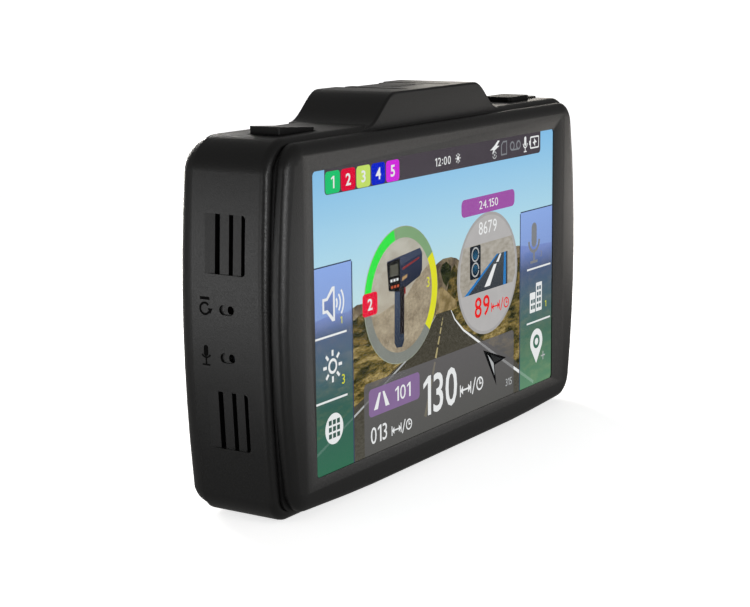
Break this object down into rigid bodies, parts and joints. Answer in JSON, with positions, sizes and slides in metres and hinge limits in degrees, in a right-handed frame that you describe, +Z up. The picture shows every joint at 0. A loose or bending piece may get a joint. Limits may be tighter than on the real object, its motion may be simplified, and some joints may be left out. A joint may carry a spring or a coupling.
{
  "type": "radar detector",
  "caption": "Slim windscreen radar detector with a touch display, a rear-facing camera and laser window, side louvres and a slide-on top mounting block.",
  "frame": {"origin": "bottom centre of the whole object's box, on the surface that it stands on", "axes": "+X to the right along the display as its user sees it, +Y away from the user, through the display to the camera side, +Z up"},
  "size_m": [0.1104, 0.0262, 0.07],
  "materials": {
    "case_plastic": "fine satin grain, charcoal",
    "button_plastic": "matt black",
    "display_glass": "clear, anti-glare",
    "display_picture": "lit colour picture",
    "light_guide": "white, translucent",
    "sheet_steel": "stamped, tin plated",
    "spreader_aluminium": "rolled",
    "soft_pad": "soft silicone",
    "board_laminate": "green solder mask",
    "chip_plastic": "moulded black",
    "ribbon_film": "amber polyimide film",
    "connector_plastic": "ivory nylon",
    "plunger_red": "moulded red",
    "speaker_black": "black frame with paper cone",
    "screen_mesh": "black woven dust screen",
    "antenna_ceramic": "fired ceramic with a silvered face",
    "contact_gold": "gold plated",
    "horn_metal": "die cast",
    "inner_black_plastic": "moulded black",
    "laser_glass": "dark red infra-red filter",
    "lens_metal": "black anodised",
    "barrel_black": "satin black with turned steps",
    "lens_glass": "coated glass",
    "ring_metal": "brushed, bevelled edge",
    "battery_foil": "laminated foil pouch",
    "card_plastic": "black, smooth",
    "screw_black": "black oxide",
    "screw_steel": "zinc plated",
    "label_film": "blank silver-grey film"
  },
  "bodies": {
    "case": {"front_bezel": "case_plastic", "main_housing": "case_plastic", "rear_cover": "case_plastic", "cover_glass": "display_glass", "lcd_panel": "display_picture", "display_backlight": "light_guide", "display_tray": "sheet_steel", "heat_spreader": "spreader_aluminium", "thermal_pad": "soft_pad", "processor": "chip_plastic", "main_board": "board_laminate", "shield_can": "sheet_steel", "display_ribbon": "ribbon_film", "ribbon_connector": "connector_plastic", "side_board": "board_laminate", "reset_switch": "chip_plastic", "mic_boot": "soft_pad", "mic_capsule": "sheet_steel", "speaker": "speaker_black", "vent_screens": "screen_mesh", "left_switch": "chip_plastic", "right_switch": "chip_plastic", "power_switch": "chip_plastic", "button_board": "board_laminate", "gps_antenna": "antenna_ceramic", "contact_block": "chip_plastic", "dock_contacts": "contact_gold", "radar_board": "board_laminate", "radar_horn": "horn_metal", "laser_sensor": "chip_plastic", "laser_holder": "inner_black_plastic", "laser_lens": "laser_glass", "laser_window": "laser_glass", "camera_sensor_board": "board_laminate", "camera_sensor": "chip_plastic", "lens_holder": "inner_black_plastic", "lens_cell": "lens_metal", "camera_barrel": "barrel_black", "camera_front_glass": "lens_glass", "camera_ring": "ring_metal", "battery": "battery_foil", "sd_socket": "sheet_steel", "usb_socket": "sheet_steel", "usb_tongue": "chip_plastic", "av_jack": "chip_plastic", "case_screws": "screw_black", "board_screws": "screw_steel", "rating_label": "label_film"},
    "left_button": {"left_button": "button_plastic", "left_switch_plunger": "connector_plastic"},
    "right_button": {"right_button": "button_plastic", "right_switch_plunger": "connector_plastic"},
    "power_button": {"power_button": "button_plastic", "power_switch_plunger": "connector_plastic"},
    "reset_plunger": {"reset_plunger": "plunger_red"},
    "memory_card": {"sd_card": "card_plastic"}
  },
  "joints": [
    {"name": "left_button_press", "type": "slide", "parent": "case", "child": "left_button", "axis": [0, 0, -1], "range_m": [0, 0.0005], "stiffness_N_per_m": 800},
    {"name": "right_button_press", "type": "slide", "parent": "case", "child": "right_button", "axis": [0, 0, -1], "range_m": [0, 0.0005], "stiffness_N_per_m": 800},
    {"name": "power_button_press", "type": "slide", "parent": "case", "child": "power_button", "axis": [0, 0, -1], "range_m": [0, 0.0005], "stiffness_N_per_m": 800},
    {"name": "reset_press", "type": "slide", "parent": "case", "child": "reset_plunger", "axis": [1, 0, 0], "range_m": [0, 0.00025], "stiffness_N_per_m": 400},
    {"name": "card_slide", "type": "slide", "parent": "case", "child": "memory_card", "axis": [1, 0, 0], "range_m": [0, 0.014]}
  ]
}
